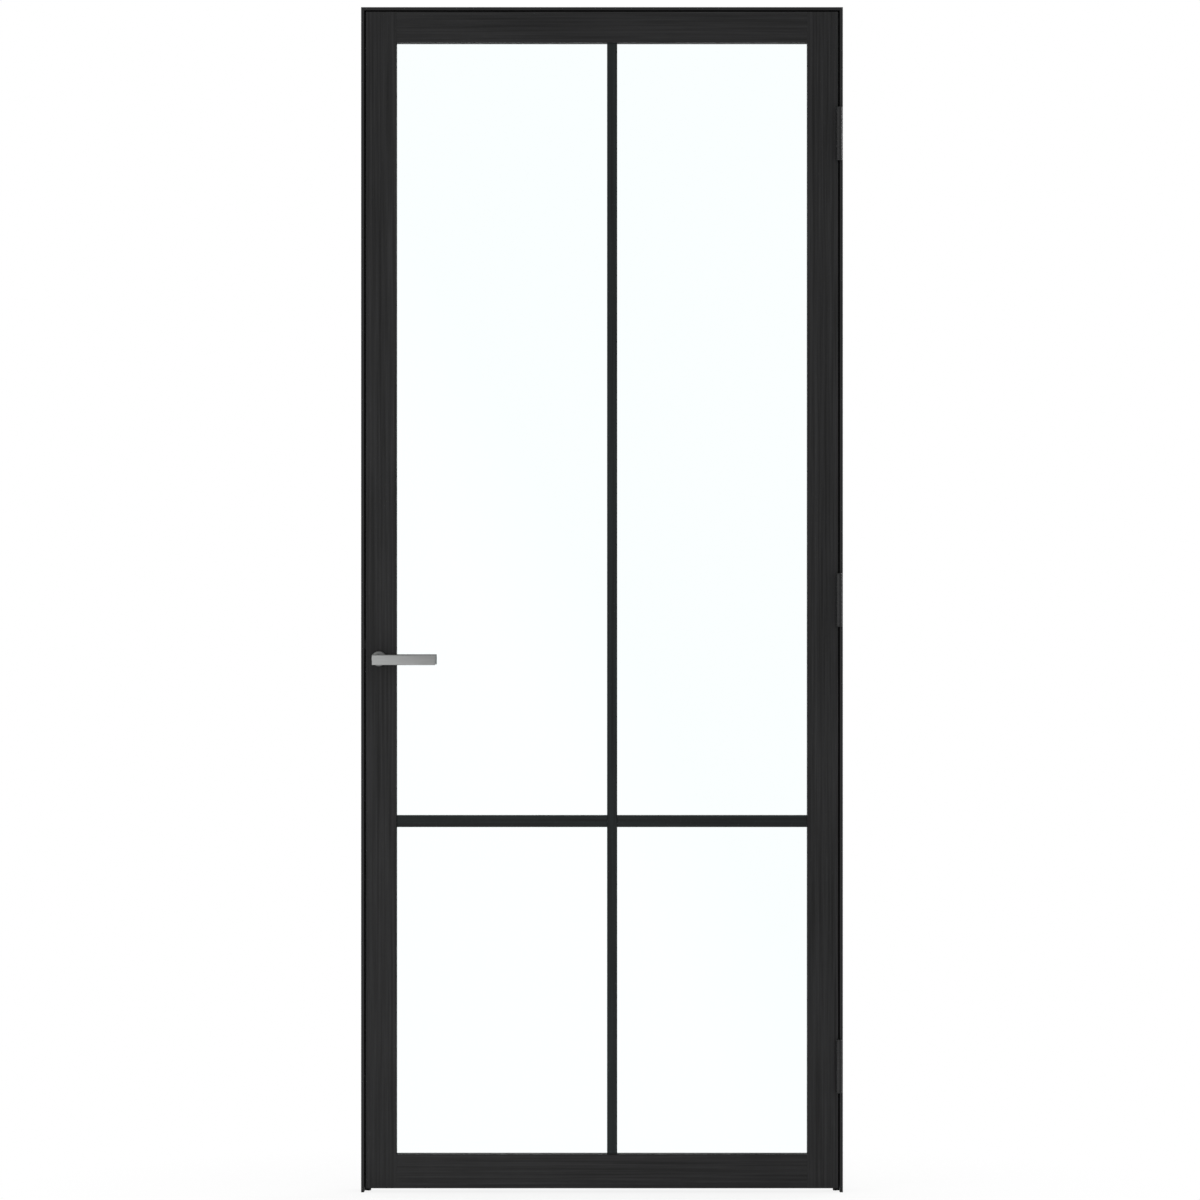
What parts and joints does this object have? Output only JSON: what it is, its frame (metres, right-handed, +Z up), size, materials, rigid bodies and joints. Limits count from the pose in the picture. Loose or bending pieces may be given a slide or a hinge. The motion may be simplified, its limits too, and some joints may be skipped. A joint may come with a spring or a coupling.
{
  "type": "interior door",
  "caption": "Tall black glazed interior door: slim timber leaf with clear glass and bonded bars, hung on butt hinges in a thin steel frame, with a sprung lever that draws a latch.",
  "frame": {"origin": "on the floor, in the middle of the frame's width and of the leaf's thickness", "axes": "+Z up, +X towards the hinge side as seen in the picture, -Y towards the viewer and the way the leaf opens"},
  "size_m": [0.948, 0.15, 2.332],
  "materials": {
    "black_steel": "fine matt black powder coat",
    "seal_rubber": "matt black",
    "hinge_black": "satin black",
    "bearing_black": "blackened",
    "leaf_stile": "black lacquer, grain upright",
    "leaf_rail": "black lacquer, grain level",
    "leaf_bead": "black lacquer",
    "bar_black": "black lacquer",
    "black_tape": "matt foam",
    "clear_glass": "clear, polished",
    "block_plastic": "moulded",
    "beech": "bare, fluted",
    "stainless_brushed": "brushed along the grip",
    "plate_black": "satin black",
    "bush_plastic": "moulded",
    "latch_steel": "bright",
    "zinc_steel": "zinc plated"
  },
  "bodies": {
    "frame": {"frame_hinge_jamb": "black_steel", "frame_lock_jamb": "black_steel", "frame_head": "black_steel", "stop_hinge_side": "black_steel", "stop_lock_side": "black_steel", "stop_head": "black_steel", "seal_hinge_side": "seal_rubber", "seal_lock_side": "seal_rubber", "seal_head": "seal_rubber", "strike_plate": "plate_black", "strike_screws": "plate_black", "hinge_top_frame_plate": "hinge_black", "hinge_middle_frame_plate": "hinge_black", "hinge_bottom_frame_plate": "hinge_black", "hinge_top_pin": "hinge_black", "hinge_middle_pin": "hinge_black", "hinge_bottom_pin": "hinge_black", "hinge_tips": "hinge_black", "hinge_bearings": "bearing_black", "hinge_frame_screws": "hinge_black"},
    "leaf": {"hinge_top_leaf_plate": "hinge_black", "hinge_middle_leaf_plate": "hinge_black", "hinge_bottom_leaf_plate": "hinge_black", "hinge_leaf_screws": "hinge_black", "hinge_stile": "leaf_stile", "lock_stile": "leaf_stile", "top_rail": "leaf_rail", "bottom_rail": "leaf_rail", "corner_dowels": "beech", "glass_pane": "clear_glass", "glazing_tape_front": "black_tape", "glazing_tape_back": "black_tape", "setting_blocks": "block_plastic", "glazing_bead_left": "leaf_bead", "glazing_bead_right": "leaf_bead", "glazing_bead_top": "leaf_bead", "glazing_bead_bottom": "leaf_bead", "front_bar_upright": "bar_black", "front_bar_left": "bar_black", "front_bar_right": "bar_black", "back_bar_upright": "bar_black", "back_bar_left": "bar_black", "back_bar_right": "bar_black", "bar_tape": "black_tape", "lock_case": "zinc_steel", "lock_cover": "zinc_steel", "lock_face_plate": "plate_black", "lock_screws": "plate_black", "latch_spring": "latch_steel", "front_rose": "stainless_brushed", "back_rose": "stainless_brushed", "lever_bushes": "bush_plastic", "bush_screws": "zinc_steel"},
    "handle": {"front_lever": "stainless_brushed", "back_lever": "stainless_brushed", "spindle": "zinc_steel", "lock_follower": "zinc_steel", "lever_grub_screws": "zinc_steel"},
    "latch": {"latch_bolt": "plate_black"}
  },
  "joints": [
    {"name": "leaf_swing", "type": "hinge", "parent": "frame", "child": "leaf", "pos_m": [0.4665, -0.027, 1.1655], "axis": [0, 0, 1], "range_deg": [0, 170]},
    {"name": "lever_turn", "type": "hinge", "parent": "leaf", "child": "handle", "pos_m": [-0.439, 0, 1.05], "axis": [0, 1, 0], "range_deg": [0, 40], "stiffness_Nm_per_rad": 1.5, "springref_deg": -34.38},
    {"name": "latch_slide", "type": "slide", "parent": "leaf", "child": "latch", "axis": [1, 0, 0], "range_m": [0, 0.0085], "deforming": ["latch_spring"]}
  ],
  "couplings": [
    {"joint": "latch_slide", "follows": "lever_turn", "m_per_rad": 0.012175}
  ]
}
